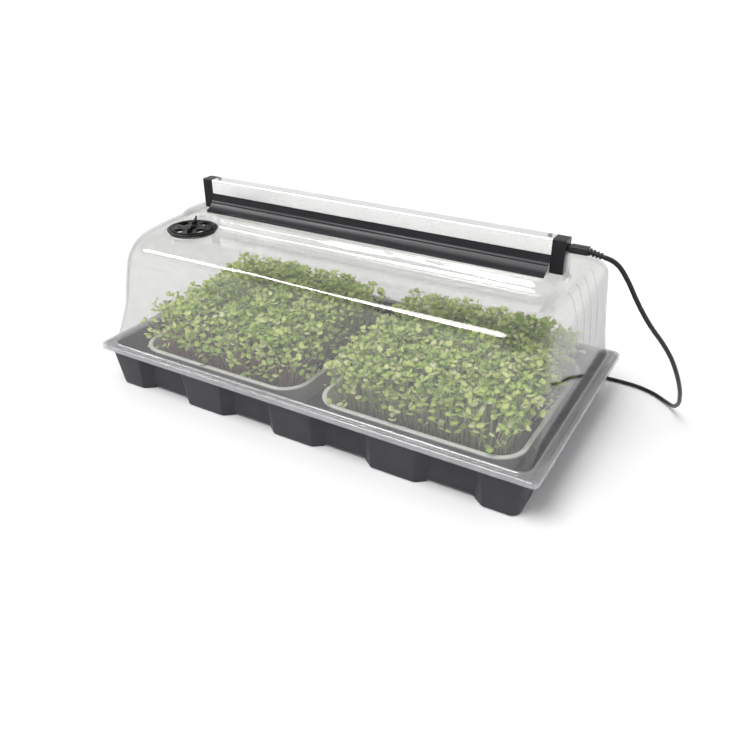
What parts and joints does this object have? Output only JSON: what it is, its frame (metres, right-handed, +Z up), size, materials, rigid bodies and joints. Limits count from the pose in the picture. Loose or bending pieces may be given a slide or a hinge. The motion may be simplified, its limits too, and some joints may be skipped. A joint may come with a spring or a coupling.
{
  "type": "humidity dome tray",
  "caption": "Seed tray with a clear vented humidity dome, a plug-in strip light lying on the dome's ridge, and white pans of microgreens inside.",
  "frame": {"origin": "centre of the base tray's footprint, on the surface it stands on", "axes": "+X along the length towards the end where the power lead leaves, +Y to the back (the long side away from the viewer), +Z up"},
  "size_m": [0.6253, 0.3717, 0.2264],
  "materials": {
    "charcoal_plastic": "thermoformed polystyrene, faint satin sheen with draw marks",
    "clear_plastic": "clear glossy PET, slightly grey where the skin is thick or seen edge-on",
    "black_plastic": "fine moulded texture, satin",
    "white_aluminium": "white powder-coated aluminium channel, satin",
    "reflector_black": "glossy black outside, pale grey inside, with drawn lines along its length",
    "white_plastic": "glossy white with soft moulding waves",
    "brass": "drawn, lightly tarnished",
    "steel": "blackened steel screws",
    "lamp_tube": "clear polycarbonate tube",
    "led_board": "white solder mask with a row of emitters",
    "circuit_board": "green solder mask with copper traces",
    "copper_winding": "enamelled winding",
    "cord_rubber": "soft black PVC, satin",
    "tie_strap": "woven hook-and-loop strap",
    "growing_medium": "moist crumbly fibre",
    "leaf": "young leaves, waxy with fine veins"
  },
  "bodies": {
    "tray": {"base_tray": "charcoal_plastic"},
    "dome": {"dome": "clear_plastic", "light_stop_left": "clear_plastic", "light_stop_right": "clear_plastic", "vent_seat_front": "black_plastic", "vent_rivet_front": "black_plastic", "vent_seat_back": "black_plastic", "vent_rivet_back": "black_plastic"},
    "vent_front": {"vent_dial_front": "black_plastic"},
    "vent_back": {"vent_dial_back": "black_plastic"},
    "light": {"light_housing": "white_aluminium", "reflector": "reflector_black", "end_cap_right": "black_plastic", "end_cap_left": "black_plastic", "lamp_holder_right": "white_plastic", "lamp_holder_left": "white_plastic", "holder_contact_right": "brass", "holder_contact_left": "brass", "housing_screw_right": "steel", "housing_screw_left": "steel", "driver_board": "circuit_board", "driver_transformer": "black_plastic", "driver_capacitor": "black_plastic", "driver_choke": "copper_winding", "lamp_lead_right": "cord_rubber", "lamp_lead_left": "cord_rubber", "inlet_socket": "black_plastic", "inlet_pin_a": "brass", "inlet_pin_b": "brass"},
    "lamp": {"led_tube": "lamp_tube", "led_board": "led_board", "tube_cap_right": "white_plastic", "tube_cap_left": "white_plastic"},
    "lead": {"cord_connector": "cord_rubber", "strain_relief": "cord_rubber", "power_cord": "cord_rubber", "cord_coil": "cord_rubber", "cord_tie": "tie_strap", "mains_plug": "cord_rubber", "plug_blade_a": "brass", "plug_blade_b": "brass"},
    "pan_left": {"grow_tray_left": "white_plastic", "growing_medium_left": "growing_medium", "microgreens_left": "leaf"},
    "pan_right": {"grow_tray_right": "white_plastic", "growing_medium_right": "growing_medium", "microgreens_right": "leaf"}
  },
  "joints": [
    {"name": "dome_lift", "type": "slide", "parent": "tray", "child": "dome", "axis": [0, 0, 1], "range_m": [0, 0.2]},
    {"name": "vent_front_turn", "type": "hinge", "parent": "dome", "child": "vent_front", "pos_m": [-0.188, -0.053, 0.181], "axis": [0, 0, 1], "range_deg": [0, 45]},
    {"name": "vent_back_turn", "type": "hinge", "parent": "dome", "child": "vent_back", "pos_m": [0.188, 0.053, 0.181], "axis": [0, 0, 1], "range_deg": [0, 45]},
    {"name": "light_lift", "type": "slide", "parent": "dome", "child": "light", "axis": [0, 0, 1], "range_m": [0, 0.08]},
    {"name": "lamp_turn", "type": "hinge", "parent": "light", "child": "lamp", "pos_m": [0.012, 0.003, 0.199], "axis": [1, 0, 0], "range_deg": [0, 90]},
    {"name": "lead_unplug", "type": "slide", "parent": "light", "child": "lead", "axis": [1, 0, 0], "range_m": [0, 0.015]},
    {"name": "pan_left_lift", "type": "slide", "parent": "tray", "child": "pan_left", "axis": [0, 0, 1], "range_m": [0, 0.055]},
    {"name": "pan_right_lift", "type": "slide", "parent": "tray", "child": "pan_right", "axis": [0, 0, 1], "range_m": [0, 0.055]}
  ]
}
